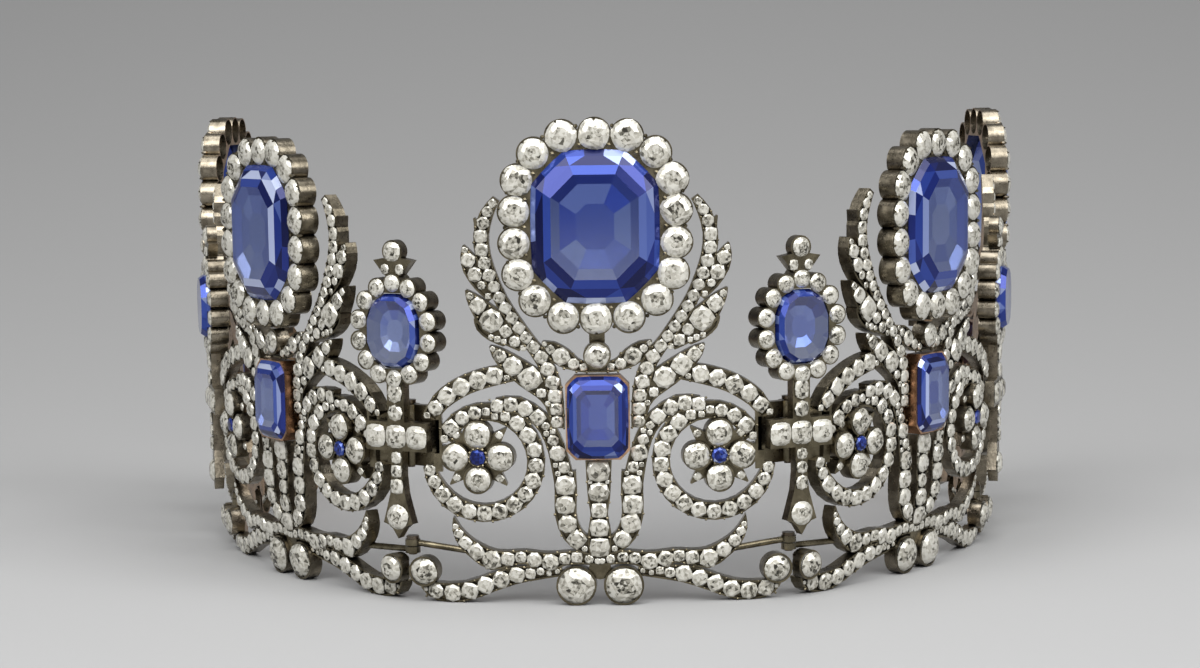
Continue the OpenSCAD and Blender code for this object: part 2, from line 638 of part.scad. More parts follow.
for (p = PANELS) {
    at_panel(p) frame_of(p);
    at_panel(p) halo(row_of(p));
    at_panel(p) rect_collet();
    at_panel(p) big_sapphire(row_of(p));
    at_panel(p) rect_sapphire();
    at_panel(p) flower_sapphires();
    at_panel(p) halo_diamonds(row_of(p));
    at_panel(p) panel_diamonds();
}
for (h = HINGES) {
    at_hinge(h) finial(half_turn_of(h));
    at_hinge(h) oval_sapphire();
    at_hinge(h) finial_diamonds();
    at_hinge(h) hinge_pin();
}
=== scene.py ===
import math
import random

import bmesh
import bpy
from mathutils import Matrix, Vector


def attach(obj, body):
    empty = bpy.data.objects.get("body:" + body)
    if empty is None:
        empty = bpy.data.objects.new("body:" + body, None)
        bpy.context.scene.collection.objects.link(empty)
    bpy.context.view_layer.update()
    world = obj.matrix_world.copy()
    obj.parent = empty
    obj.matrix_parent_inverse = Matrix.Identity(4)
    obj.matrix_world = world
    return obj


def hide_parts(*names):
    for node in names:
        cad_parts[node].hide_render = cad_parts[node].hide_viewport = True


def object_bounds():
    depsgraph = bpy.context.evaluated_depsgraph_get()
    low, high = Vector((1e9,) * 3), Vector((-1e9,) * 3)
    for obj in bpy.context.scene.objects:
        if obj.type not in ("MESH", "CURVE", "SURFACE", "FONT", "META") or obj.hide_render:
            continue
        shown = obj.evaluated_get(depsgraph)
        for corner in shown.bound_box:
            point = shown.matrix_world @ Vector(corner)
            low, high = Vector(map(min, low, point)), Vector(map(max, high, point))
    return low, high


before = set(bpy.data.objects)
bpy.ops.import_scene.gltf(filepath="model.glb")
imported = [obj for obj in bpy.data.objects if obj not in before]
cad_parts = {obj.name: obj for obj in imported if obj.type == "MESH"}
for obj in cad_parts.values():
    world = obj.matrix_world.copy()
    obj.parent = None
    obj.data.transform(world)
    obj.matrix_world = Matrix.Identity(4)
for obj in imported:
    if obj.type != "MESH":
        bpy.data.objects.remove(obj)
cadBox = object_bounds()
mm = 0.001

# The crown's plan in mm: five curved openwork panels in a chain, hinged to each other. A panel is bent to the
# radius of its wall, made of flat strips, and leans in towards its foot by the flare
plan = {"wallR": 85.6, "halfSpan": 23.5, "frontTurn": 53.3, "rearTurn": 42.7, "panelH": 48, "flare": 1.96,
        "flareH": 25, "strips": 6, "stripEdge": 24.5, "leanRows": (1, 0.42, -0.02), "tableOut": 3.1}
panelNames = ("front", "left", "right", "rear_left", "rear_right")
hingeNames = ("left", "right", "rear_left", "rear_right")


def bow(u):
    return plan["wallR"] - math.sqrt(plan["wallR"] ** 2 - u * u)


def lean(z):
    return plan["flare"] * (1 - z / plan["flareH"]) ** 2 if z < plan["flareH"] else 0


def face(u, z):
    return -bow(u) - lean(z)


# What lies on the wall follows its flat strips
def stripFace(u, z):
    width = 2 * plan["stripEdge"] / plan["strips"]
    k = min(max(math.floor((u + plan["stripEdge"]) / width), 0), plan["strips"] - 1)
    a = k * width - plan["stripEdge"]
    t = (u - a) / width
    rows = [r * plan["flareH"] for r in plan["leanRows"]]
    leanHere = 0
    for high, low in zip(rows, rows[1:]):
        if low <= z < high:
            f = (z - low) / (high - low)
            leanHere = lean(high) * f + lean(low) * (1 - f)
    return -(bow(a) * (1 - t) + bow(a + width) * t) - leanHere


# Panel coordinates are u along the panel, out of the crown, and z up
def placing(at, turn, mirrored):
    a = math.radians(turn)
    m = Matrix(((math.cos(a), math.sin(a), 0, at.x), (math.sin(a), -math.cos(a), 0, at.y),
                (0, 0, 1, 0), (0, 0, 0, 1)))
    side = Matrix.Diagonal((-1, 1, 1, 1)) if mirrored else Matrix()
    return Matrix.Scale(mm, 4) @ side @ m


def turnedBy(u, turn):
    a = math.radians(turn)
    out = -bow(u)
    return Vector((u * math.cos(a) + out * math.sin(a), u * math.sin(a) - out * math.cos(a)))


def rowOf(name):
    return "front" if name == "front" else "rear" if "rear" in name else "side"


end, fold = plan["halfSpan"], plan["frontTurn"] + plan["rearTurn"]
frontAt = Vector((0, cadBox[0].y / mm + plan["tableOut"]))
hingeOne = frontAt + turnedBy(end, 0)
sideAt = hingeOne - turnedBy(-end, plan["frontTurn"])
hingeTwo = sideAt + turnedBy(end, plan["frontTurn"])
rearAt = hingeTwo - turnedBy(-end, fold)
# Where the right-hand panels and hinges stand and how far they are turned. The left ones mirror them
panelAt = {"side": (sideAt, plan["frontTurn"]), "rear": (rearAt, fold)}
hingeAt = {"side": (hingeOne, plan["frontTurn"] / 2),
           "rear": (hingeTwo, plan["frontTurn"] + plan["rearTurn"] / 2)}
panelPlace = {"front": placing(frontAt, 0, False)}
hingePlace = {}
for name in hingeNames:
    panelPlace[name] = placing(*panelAt[rowOf(name)], "left" in name)
    hingePlace[name] = placing(*hingeAt[rowOf(name)], "left" in name)
# An ornament over a hinge goes with the panel that is nearer the front
hingeBody = {"left": "panel_front", "right": "panel_front",
             "rear_left": "panel_left", "rear_right": "panel_right"}


def linear(hexColour):
    parts = [int(hexColour[i:i + 2], 16) / 255 for i in (1, 3, 5)]
    return [c / 12.92 if c <= 0.04045 else ((c + 0.055) / 1.055) ** 2.4 for c in parts] + [1]


def addNode(tree, kind, settings=None, inputs=None, links=()):
    node = tree.nodes.new(kind)
    for key, value in (settings or {}).items():
        setattr(node, key, value)
    for key, value in (inputs or {}).items():
        node.inputs[key].default_value = value
    for output, key in links:
        tree.links.new(output, node.inputs[key])
    return node


def newMaterial(name, preview):
    mat = bpy.data.materials.new(name)
    mat.use_nodes = True
    mat.node_tree.nodes.clear()
    mat.diffuse_color = linear(preview)
    return mat, mat.node_tree


def finishMaterial(tree, shader):
    addNode(tree, "ShaderNodeOutputMaterial", links=[(shader.outputs[0], "Surface")])


def colourRamp(tree, source, stops):
    ramp = addNode(tree, "ShaderNodeValToRGB", links=[(source, "Fac")])
    elements = ramp.color_ramp.elements
    while len(elements) < len(stops):
        elements.new(0.5)
    for element, (place, colour) in zip(elements, stops):
        element.position = place
        element.color = linear(colour)
    return ramp


print("materials")
# Old silver, in mm and shares: its patches of tarnish, the recesses darkened with painted shade and the
# tarnish they hold, the wear of its surface
tarnishAndShade = {"patch": 1.6, "spotted": 0.7, "recess": 0.6, "fullShadeAndTarnish": 0.1, "freeOfShadeAndTarnish": 0.75, "smooth": 0.18,
           "rough": 0.42, "wear": 0.4, "wearDepth": 0.05}


# Old silver on a gilt back, coloured by the way each surface faces: warm where the inside shows, pale grey on
# the edges and sides, which is a painted reflection, and olive on its face, the old silver's own colour
# deepened with painted shade. It is darkened in the recesses with painted shade and the tarnish that old
# silver keeps there. The stops run from the inside of the crown to its outside, and the grain is in mm
def silverMaterial(name, stops, dark, grain):
    mat, tree = newMaterial(name, stops[-1][1])
    where = addNode(tree, "ShaderNodeTexCoord").outputs["Object"]
    normal = addNode(tree, "ShaderNodeNewGeometry").outputs["Normal"]
    middle = (cadBox[0] + cadBox[1]) / 2
    fromMiddle = addNode(tree, "ShaderNodeVectorMath", {"operation": "SUBTRACT"},
                         {1: (middle.x, middle.y, 0)}, [(where, 0)])
    level = addNode(tree, "ShaderNodeVectorMath", {"operation": "MULTIPLY"}, {1: (1, 1, 0)},
                    [(fromMiddle.outputs[0], 0)])
    outward = addNode(tree, "ShaderNodeVectorMath", {"operation": "NORMALIZE"}, links=[(level.outputs[0], 0)])
    facing = addNode(tree, "ShaderNodeVectorMath", {"operation": "DOT_PRODUCT"},
                     links=[(outward.outputs[0], 0), (normal, 1)])
    share = addNode(tree, "ShaderNodeMapRange", inputs={"From Min": -1, "From Max": 1},
                    links=[(facing.outputs["Value"], "Value")])
    patches = addNode(tree, "ShaderNodeTexNoise", inputs={"Scale": 1 / (tarnishAndShade["patch"] * mm), "Detail": 5},
                      links=[(where, "Vector")])
    fine = addNode(tree, "ShaderNodeTexNoise", inputs={"Scale": 1 / (grain * mm), "Detail": 3},
                   links=[(where, "Vector")])
    # Painted shade: recesses within the given distance go towards the dark colour, together with the tarnish
    # that old silver keeps there
    hollow = addNode(tree, "ShaderNodeAmbientOcclusion", {"samples": 4},
                     {"Distance": tarnishAndShade["recess"] * mm})
    freeOfShadeAndTarnish = addNode(tree, "ShaderNodeMapRange", links=[(hollow.outputs["AO"], "Value")],
                    inputs={"From Min": tarnishAndShade["fullShadeAndTarnish"], "From Max": tarnishAndShade["freeOfShadeAndTarnish"]})
    # Colour by the way the surface faces: the paler sides are a painted reflection, and the darker face holds
    # painted shade
    side = colourRamp(tree, share.outputs[0], stops)
    blotch = colourRamp(tree, patches.outputs["Fac"], [(0.35, "#7d7a74"), (0.65, "#ffffff")])
    spotted = addNode(tree, "ShaderNodeMix", {"data_type": "RGBA", "blend_type": "MULTIPLY"},
                      {0: tarnishAndShade["spotted"]}, [(side.outputs["Color"], 6), (blotch.outputs["Color"], 7)])
    shadedAndTarnished = addNode(tree, "ShaderNodeMix", {"data_type": "RGBA"}, {6: linear(dark)},
                     [(freeOfShadeAndTarnish.outputs[0], 0), (spotted.outputs[2], 7)])
    rough = addNode(tree, "ShaderNodeMapRange", links=[(fine.outputs["Fac"], "Value")],
                    inputs={"To Min": tarnishAndShade["smooth"], "To Max": tarnishAndShade["rough"]})
    bump = addNode(tree, "ShaderNodeBump", links=[(fine.outputs["Fac"], "Height")],
                   inputs={"Strength": tarnishAndShade["wear"], "Distance": tarnishAndShade["wearDepth"] * mm})
    shader = addNode(tree, "ShaderNodeBsdfPrincipled", inputs={"Metallic": 1},
                     links=[(shadedAndTarnished.outputs[2], "Base Color"), (rough.outputs[0], "Roughness"),
                            (bump.outputs[0], "Normal")])
    finishMaterial(tree, shader)
    return mat


# The table of a blue stone: clear, so that the back facets show through it
def clearMaterial(name, colour, ior):
    mat, tree = newMaterial(name, colour)
    shader = addNode(tree, "ShaderNodeBsdfPrincipled", inputs={
        "Base Color": linear(colour), "Roughness": 0.0, "IOR": ior, "Transmission Weight": 1})
    finishMaterial(tree, shader)
    return mat


# Facets that each keep a tone of their own, painted reflections which make a cut stone flicker. The glow is
# painted light that stands for light thrown about inside the stone, and the flecks, in mm, are painted
# reflections of the back facets that show through
fleckSize = 0.42


def toneMaterial(name, stops, metallic, roughness, glow=0.0, flecks=0.0):
    mat, tree = newMaterial(name, stops[-1][1])
    tone = addNode(tree, "ShaderNodeAttribute", {"attribute_name": "tone"}).outputs["Fac"]
    where = addNode(tree, "ShaderNodeTexCoord").outputs["Object"]
    cells = addNode(tree, "ShaderNodeTexVoronoi", links=[(where, "Vector")],
                    inputs={"Scale": 1 / (fleckSize * mm)})
    even = addNode(tree, "ShaderNodeMath", {"operation": "SUBTRACT"}, {1: 0.5}, [(cells.outputs["Color"], 0)])
    mixed = addNode(tree, "ShaderNodeMath", {"operation": "MULTIPLY_ADD"}, {1: flecks},
                    [(even.outputs[0], 0), (tone, 2)])
    ramp = colourRamp(tree, mixed.outputs[0], stops)
    shader = addNode(tree, "ShaderNodeBsdfPrincipled", inputs={
        "Metallic": metallic, "Roughness": roughness, "Emission Strength": glow}, links=[
        (ramp.outputs["Color"], "Base Color"), (ramp.outputs["Color"], "Emission Color")])
    finishMaterial(tree, shader)
    return mat


# The pale grey at 0.4 is a painted reflection on the sides, and the dark olive towards 1 is the silver's own
# colour deepened with painted shade
silver = silverMaterial("old silver with a gilt back", [
    (0.0, "#ab8a66"), (0.22, "#937c60"), (0.4, "#a39a8a"), (0.66, "#746d5c"), (0.86, "#7c7460")],
    "#1d1912", 0.35)
# Drawn silver wire looks dull and brown, and the gold of the lower collets coppery, paler on its
# outward-facing rim as a painted highlight
wireSilver = silverMaterial("dull silver wire", [(0.0, "#6b5844"), (1.0, "#6f665a")], "#1b1712", 0.25)
gold = silverMaterial("reddish gold", [(0.0, "#9a7252"), (0.5, "#a67d60"), (1.0, "#d2aa8a")], "#3f2619", 0.3)
# Old-cut diamonds look grey-white with dark flecks, because their deep backs return some of the light; these
# tones are painted reflections
diamond = toneMaterial("old-cut diamonds", [
    (0.0, "#33312b"), (0.22, "#6e6b61"), (0.45, "#9f9c91"), (0.7, "#b6b3a9"), (1.0, "#c8c6bd")],
    0.38, 0.22, flecks=1.0)
# Sapphires are smooth grey-blue through the table, deep blue round it, with a few pale facets: their own
# blue, with the greyer and paler facets painted as reflections, and a back that glows with painted light
blueTable = clearMaterial("sapphire table", "#dfe6ff", 1.9)
blueBack = toneMaterial("sapphire pavilion", [
    (0.0, "#131e58"), (0.35, "#2a3f8c"), (0.58, "#5f6e98"), (1.0, "#969eb2")], 1.0, 0.2, glow=0.45)
blueCrown = toneMaterial("sapphire crown facets", [
    (0.0, "#0a1140"), (0.4, "#18276e"), (0.7, "#2b4190"), (0.87, "#5f6fa6"), (1.0, "#b4bedd")], 0.45, 0.14)
diamondSkin = [diamond]
sapphireSkin = [blueTable, blueBack, blueCrown, blueCrown]


# The outer skin of the rings is the cut stone, crown up. Its skins are 0 for the table, 1 for the
# pavilion, 2 for the crown below the given height and 3 above that. Parts of one flat facet are joined
def hulled(bm, name, crownStep=None):
    flatWithin = math.radians(0.6)
    bmesh.ops.convex_hull(bm, input=bm.verts)
    bmesh.ops.dissolve_limit(bm, angle_limit=flatWithin, verts=bm.verts, edges=bm.edges)
    bmesh.ops.recalc_face_normals(bm, faces=bm.faces)
    for f in bm.faces:
        if crownStep:
            high = f.calc_center_median().z
            f.material_index = (1 if high < 0 and f.normal.z < -0.05 else 0 if f.normal.z > 0.98
                                else 3 if high > crownStep else 2)
    shape = bpy.data.meshes.new(name)
    bm.to_mesh(shape)
    bm.free()
    return shape


# Squareness 2 keeps a stone round, and a higher one brings it near a cushion, drawn in to keep its width
def roundCut(name, rings, squareness):
    drawnIn = 0.96
    bm = bmesh.new()
    for radius, height, count, phase in rings:
        bmesh.ops.create_circle(bm, segments=count, radius=radius,
                                matrix=Matrix.Translation((0, 0, height)) @ Matrix.Rotation(
                                    2 * math.pi * phase / count, 4, "Z"))
    for v in bm.verts:
        flat = math.hypot(v.co.x, v.co.y)
        if flat > 0.01:
            c, s = abs(v.co.x) / flat, abs(v.co.y) / flat
            k = (c ** squareness + s ** squareness) ** (-1 / squareness) * drawnIn
            v.co.x *= k
            v.co.y *= k
    return hulled(bm, name)


# Rings of a cut stone: radius, height, corners, turn as a share of a corner. The table is barely domed,
# so that each facet seen through it keeps its own tone
cuts = {
    "old": [(0.03, 0.38, 3, 0), (0.22, 0.374, 6, 0), (0.4, 0.362, 8, 0.5), (0.57, 0.342, 8, 0),
            (0.8, 0.22, 16, 0.5), (1, 0.04, 16, 0), (1, -0.06, 16, 0), (0.5, -0.5, 8, 0.5),
            (0.1, -0.8, 4, 0)],
    "small": [(0.03, 0.385, 3, 0), (0.4, 0.376, 5, 0.5), (0.74, 0.35, 8, 0.5), (1, 0.12, 8, 0),
              (1, -0.1, 8, 0), (0.6, -0.4, 4, 0)],
}
oldCut = [roundCut("oldCut", cuts["old"], k) for k in (2.0, 2.35, 2.7)]
cushionCut = roundCut("cushionCut", cuts["old"], 3.4)
smallCut = [roundCut("smallCut", cuts["small"], k) for k in (2.3, 3.0, 3.8)]


def octagon(halfU, halfZ, cut):
    return [(halfU, halfZ - cut), (halfU - cut, halfZ), (cut - halfU, halfZ), (-halfU, halfZ - cut),
            (-halfU, cut - halfZ), (cut - halfU, -halfZ), (halfU - cut, -halfZ), (halfU, cut - halfZ)]


# Each side of an outline is parted in three, a little bowed out, for the small facets along the edge
def bowedOut(outline, swell):
    points = []
    for a, b in zip(outline, outline[1:] + outline[:1]):
        a, b = Vector(a), Vector(b)
        across = Vector((b.y - a.y, a.x - b.x)).normalized()
        outwards = across if across.dot(a + b) > 0 else -across
        points += [a, a.lerp(b, 0.33) + outwards * swell, a.lerp(b, 0.67) + outwards * swell]
    return points


# Share of the outline and share of the depth, from the table to the point. The widest rings are bowed out
pavilionSteps = [(1, 0.04), (1, -0.04), (0.78, -0.5), (0.56, -0.86), (0.3, -0.95)]
crownSteps = {"wide": [(0.69, 0.75), (0.81, 0.58), (0.92, 0.33)], "thin": [(0.83, 0.75), (0.93, 0.4)]}


def stepCut(name, outline, depth, swell, crown="wide"):
    bm = bmesh.new()
    for share, height in crownSteps[crown] + pavilionSteps:
        ring = bowedOut(outline, swell) if share > 0.9 else outline
        for x, y in ring:
            bm.verts.new((x * share, y * share, depth * height))
    return hulled(bm, name, depth * 0.5)


# Copies of a shape go into one mesh, each through its own matrix
def addCopy(bm, shape, matrix):
    known = len(bm.verts)
    bm.from_mesh(shape)
    bm.verts.ensure_lookup_table()
    bmesh.ops.transform(bm, matrix=matrix, verts=bm.verts[known:])


# How much lighter a facet is than its stone, and how far it strays, by its skin and the way that it faces:
# painted reflections
def facetShare(skin, normal):
    if skin == 1:  # back of a blue stone
        return 0.02 + 0.6 * normal.y, 0.35
    if skin == 2:  # foot of its crown
        return -0.1, 1.6
    if skin == 3:  # the crown above that
        return 0.25 * math.cos(4 * math.atan2(normal.y, normal.x)) + 0.15 * normal.y, 0.5
    if normal.z > 0.93:  # table of a round stone
        return -0.15, 1.1
    if normal.z > 0.2:  # its crown
        return 0.1, 0.8
    return (-0.5, 0.2) if normal.z > -0.3 else (-0.2, 1)  # its widest edge, or its back


# Tones of the kinds of stone, from 0 dark to 1 light, which paint their reflections: lowest, highest, and how
# far their facets stray
stoneTones = {"round": (0.5, 0.85, 0.4), "pave": (0.6, 0.95, 0.3), "halo": (0.6, 0.9, 0.4),
              "heart": (0.2, 0.6, 0.4), "oval": (0.5, 0.62, 0.35)}


# A stone's facets share its own tone, and each strays from that, as painted reflections: the middle of a
# round stone most, the ring of facets round it less. A blue stone is painted lighter at its foot, where its
# back throws light out
def addStone(bm, shape, matrix, rng, tones):
    low, high, stray = tones
    known = len(bm.faces)
    addCopy(bm, shape, matrix)
    tone = bm.faces.layers.float.get("tone") or bm.faces.layers.float.new("tone")
    bm.faces.ensure_lookup_table()
    own = rng.uniform(low, high)
    for f, facet in zip(bm.faces[known:], shape.polygons):
        shift, spread = facetShare(facet.material_index, facet.normal)
        f[tone] = min(max(own + shift + spread * rng.uniform(-stray, stray), 0), 1)


# Seat of a shape whose own Z points out of the crown. One that follows the wall is turned and pitched with it
def seat(u, out, z, size, spin=0.0, follow=True, tilt=(0.0, 0.0)):
    around = -math.asin(u / plan["wallR"]) if follow else 0.0
    pitch = 0.0
    if follow and z < plan["flareH"]:
        pitch = math.atan(stripFace(u, z + 0.5) - stripFace(u, z - 0.5))
    turnOut = Matrix.Rotation(-math.pi / 2, 4, "X")
    sizes = size if isinstance(size, tuple) else (size, size, size)
    return (Matrix.Translation((u, out, z)) @ Matrix.Rotation(around + tilt[0], 4, "Z")
            @ Matrix.Rotation(-pitch + tilt[1], 4, "X") @ turnOut @ Matrix.Rotation(spin, 4, "Z")
            @ Matrix.Diagonal((*sizes, 1)))


def newPiece(name, bm, place, body, materials, replaced=()):
    bmesh.ops.transform(bm, matrix=place, verts=bm.verts)
    if place.determinant() < 0:
        bmesh.ops.reverse_faces(bm, faces=bm.faces)
    mesh = bpy.data.meshes.new(name)
    bm.to_mesh(mesh)
    bm.free()
    for mat in materials:
        mesh.materials.append(mat)
    piece = bpy.data.objects.new(name, mesh)
    bpy.context.scene.collection.objects.link(piece)
    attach(piece, body)
    for node in replaced:
        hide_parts(node)
    return piece


print("ribbons and their fine stones")
# Ribbons of a panel, uppermost first: share of half the span, share of the height, share of the band's width
ribbons = {
    "stem": [[0, 0.36, 1.45], [0, 0.31, 1.35], [0, 0.26, 1.2], [0, 0.225, 0.95], [0, 0.18, 1.3],
             [0, 0.13, 1.2]],
    "yoke": [[0.168, 0.333, 1.24], [0.164, 0.281, 1.24], [0.166, 0.225, 1.2], [0.136, 0.179, 1.15],
             [0.077, 0.152, 1.05], [-0.02, 0.14, 1.05]],
    "spine": [[0.485, 0.994, 0.45], [0.532, 0.958, 0.75], [0.562, 0.908, 0.85], [0.553, 0.854, 0.85],
              [0.517, 0.802, 0.8], [0.468, 0.75, 0.75], [0.404, 0.7, 0.75], [0.332, 0.65, 0.75],
              [0.264, 0.604, 0.85], [0.221, 0.552, 0.9], [0.204, 0.496, 0.85], [0.2, 0.44, 0.8]],
    "curl": [[0.168, 0.3, 1.15], [0.191, 0.358, 1.05], [0.226, 0.415, 0.95], [0.285, 0.462, 0.95],
             [0.396, 0.496, 0.95], [0.5, 0.494, 0.85]],
    "leafLow": [[0.528, 0.64, 0.08], [0.498, 0.625, 0.67], [0.438, 0.6, 1.1], [0.353, 0.569, 1.33],
                [0.26, 0.537, 1.33], [0.217, 0.498, 0.95], [0.202, 0.454, 0.76]],
    "leafMid": [[0.643, 0.775, 0.08], [0.621, 0.76, 0.55], [0.579, 0.735, 1.05], [0.515, 0.7, 1.43],
                [0.434, 0.671, 1.38], [0.357, 0.644, 0.95]],
    "leafHigh": [[0.651, 0.883, 0.08], [0.638, 0.862, 0.67], [0.611, 0.831, 1.1], [0.553, 0.796, 1.3],
                 [0.494, 0.762, 1.05]],
    "leafTop": [[0.596, 0.948, 0.08], [0.574, 0.927, 0.5], [0.562, 0.9, 0.7]],
    "leafThorn": [[0.604, 0.706, 0.06], [0.579, 0.685, 0.4], [0.523, 0.665, 0.57], [0.451, 0.65, 0.57]],
    "sprig": [[0.268, 0.65, 0.1], [0.232, 0.633, 0.9], [0.162, 0.61, 1.05], [0.106, 0.594, 0.7],
              [0.055, 0.588, 0.6], [-0.02, 0.59, 0.65]],
    "arc": [[0.84, 0.463, 0.85], [0.783, 0.502, 1.05], [0.715, 0.528, 1.1], [0.647, 0.546, 1.1],
            [0.566, 0.56, 1.1], [0.489, 0.569, 1.05], [0.41, 0.575, 0.9]],
    "ribbonHigh": [[0.728, 0.217, 0.06], [0.715, 0.187, 0.52], [0.677, 0.156, 0.81], [0.617, 0.131, 1],
                   [0.536, 0.11, 1.19], [0.451, 0.115, 0.86], [0.37, 0.119, 0.81], [0.272, 0.106, 1.14],
                   [0.183, 0.115, 0.81], [0.094, 0.119, 0.81], [-0.02, 0.115, 0.86]],
    "ribbonLow": [[0.19, 0.085, 0.6], [0.315, 0.079, 0.81], [0.425, 0.073, 1.05], [0.545, 0.052, 1.05],
                  [0.664, 0.03, 1.1], [0.774, 0.024, 1.12], [0.855, 0.032, 0.9], [0.898, 0.052, 0.48]],
}
ribbonSize = {"bandW": 2.1, "rim": 0.1, "splineSteps": 10}
# Fine stones in mm: the smallest in a row and in a gap, the steps of the search, and how much is left free.
# Two stones of a row sit as near as the share close of their radii. The last three are ranges
pave = {"smallest": 0.24, "filler": 0.26, "close": 0.97, "rowStep": 0.06, "fillStep": 0.25, "rowGap": 0.03,
        "fillGap": 0.04, "grainRoom": 0.05, "sunk": 0.02, "tilt": 0.07,
        "wide": (1, 1.05), "long": (1.01, 1.07), "grain": (0.14, 0.2)}
volute = {"at": (0.566 * plan["halfSpan"], 0.358 * plan["panelH"]), "r": 6.05, "start": -6, "sweep": 325,
          "opensOut": 0.6, "tightens": 0.75, "points": 140}
flower = {"at": (0.598 * plan["halfSpan"], 0.369 * plan["panelH"]), "petalReach": 2.65, "petalR": 1.7,
          "heartR": 1.1, "heartRim": 0.12, "heartOut": 0.04, "claws": 12, "clawRing": 1.08, "clawR": 0.2,
          "leafReach": 3.6, "leafR": 0.48}
# Round collets in mm. The places of the end and crest ones are shares, as the ribbons' are
collets = {"proud": 0.5, "rim": 0.17, "stoneOut": 0.02, "tilt": 0.03, "baseR": 2.36, "baseApart": 0.42,
           "endR": 1.8, "endAt": (0.885, 0.079), "crestR": 1.6, "crestUp": 0.617}
rect = {"stoneU": 3.48, "stoneZ": 4.72, "stoneCut": 1.15, "halfU": 3.2, "halfZ": 4.42, "wall": 0.38,
        "clear": 0.12, "mid": 0.468 * plan["panelH"], "out": 0.78, "depth": 1.35, "swell": 0.08}


def splined(points, steps):
    last = len(points) - 1
    line = []
    for i in range(last):
        a, b, c, d = (Vector(points[k]) for k in (max(i - 1, 0), i, i + 1, min(i + 2, last)))
        for k in range(steps):
            t = k / steps
            line.append(0.5 * (2 * b + (c - a) * t + (2 * a - 5 * b + 4 * c - d) * t * t
                               + (3 * b - a - 3 * c + d) * t ** 3))
    line.append(Vector(points[last]))
    return line


def ribbonLine(rows):
    sized = [(u * plan["halfSpan"], z * plan["panelH"], w * ribbonSize["bandW"] / 2) for u, z, w in rows]
    return splined(sized, ribbonSize["splineSteps"])


# A volute opens out at its foot, which is narrow, and tightens at its inner end
def voluteLine():
    line = []
    for i in range(volute["points"] + 1):
        t = i / volute["points"]
        a = math.radians(volute["start"] - volute["sweep"] * t)
        r = volute["r"] + volute["opensOut"] * (1 - t) ** 4 - volute["tightens"] * t ** 6
        half = ribbonSize["bandW"] / 2 * (0.7 + 3 * t if t < 0.1 else 1)
        line.append(Vector((volute["at"][0] + r * math.cos(a), volute["at"][1] + r * math.sin(a), half)))
    return line


def petals():
    x, z = flower["at"]
    reach = flower["petalReach"]
    return [(x + reach * math.cos(math.pi / 2 * k), z + reach * math.sin(math.pi / 2 * k)) for k in range(4)]


# Round stones in collets: across, up, radius of the collet
def colletRows():
    endU, endZ = collets["endAt"]
    half = [(collets["baseR"] + collets["baseApart"], collets["baseR"], collets["baseR"]),
            (endU * plan["halfSpan"], endZ * plan["panelH"], collets["endR"])]
    half += [(u, z, flower["petalR"]) for u, z in petals()]
    crest = (0, collets["crestUp"] * plan["panelH"], collets["crestR"])
    return half + [(-u, z, r) for u, z, r in half] + [crest]


lines = [ribbonLine(rows) for rows in ribbons.values()] + [voluteLine()]
bar = {"half": 4.15, "mid": 20, "halfZ": 1.7, "gap": 0.75, "clear": 0.3}


# Free radius at a point of a ribbon, which ends at the hinge, at the foot and at what lies above it
def roomAt(u, z, above):
    free = min(z, plan["halfSpan"] - u)
    for line in above:
        for p in line[::2]:
            free = min(free, math.hypot(u - p.x, z - p.y) - p.z)
    for cu, cz, r in colletRows():
        free = min(free, math.hypot(u - cu, z - cz) - r)
    fu, fz = flower["at"]
    free = min(free, math.hypot(u - fu, z - fz) - flower["heartR"])
    rectU = rect["halfU"] + rect["wall"] + rect["clear"]
    rectZ = rect["halfZ"] + rect["wall"] + rect["clear"]
    free = min(free, math.hypot(max(abs(u) - rectU, 0), max(abs(z - rect["mid"]) - rectZ, 0)))
    barIn = plan["halfSpan"] - bar["half"] - bar["gap"]
    barUp = abs(z - bar["mid"]) - bar["halfZ"] - bar["clear"]
    return min(free, math.hypot(max(barIn - u, 0), max(barUp, 0)))


# Stones in a row along a ribbon, each nearly as wide as the channel. The row starts at the widest place and
# runs both ways, with grains of silver between the stones. Only the right half of a panel is worked out
def paveRow(line, above):
    lengths = [0.0]
    for p, q in zip(line, line[1:]):
        lengths.append(lengths[-1] + math.hypot(q.x - p.x, q.y - p.y))

    def spot(s):
        k = min(max(i for i, v in enumerate(lengths) if v <= s), len(line) - 2)
        t = (s - lengths[k]) / max(lengths[k + 1] - lengths[k], 1e-6)
        p, way = line[k].lerp(line[k + 1], min(t, 1)), line[k + 1] - line[k]
        r = p.z - ribbonSize["rim"]
        fit = min(r, roomAt(p.x, p.y, above) - pave["rowGap"])
        fits = fit > pave["smallest"] and fit > r / 2 and p.x > -0.01
        return p, way, fit if fits else 0

    step = pave["rowStep"]
    spots = [(i * step, *spot(i * step)) for i in range(1, int(lengths[-1] / step))]
    start = max(range(len(spots)), key=lambda i: spots[i][3])
    chosen = [start] if spots[start][3] else []
    for way in (1, -1):
        last, i = start, start + way
        while chosen and 0 <= i < len(spots):
            s, p, along, fit = spots[i]
            if fit and abs(s - spots[last][0]) >= (fit + spots[last][3]) * pave["close"]:
                chosen.append(i)
                last = i
            i += way
    stones, grains = [], []
    for i in chosen:
        _, p, along, fit = spots[i]
        stones.append((p.x, p.y, fit, math.atan2(along.y, along.x)))
        side = Vector((-along.y, along.x)).normalized() * (p.z - ribbonSize["rim"])
        ahead = Vector((along.x, along.y)).normalized() * fit
        for sign in (-1, 1):
            g = Vector((p.x, p.y)) + ahead + side * sign
            if roomAt(g.x, g.y, above) > pave["grainRoom"]:
                grains.append((g.x, g.y))
    return stones, grains


paveStones, paveGrains = [], []
for index, line in enumerate(lines):
    stones, grains = paveRow(line, lines[:index])
    paveStones += stones
    paveGrains += grains
for a in (45, 135, 225, 315):
    a = math.radians(a)
    paveStones.append((flower["at"][0] + flower["leafReach"] * math.cos(a),
                       flower["at"][1] + flower["leafReach"] * math.sin(a), flower["leafR"], a))
coarse = [line[::3] for line in lines]


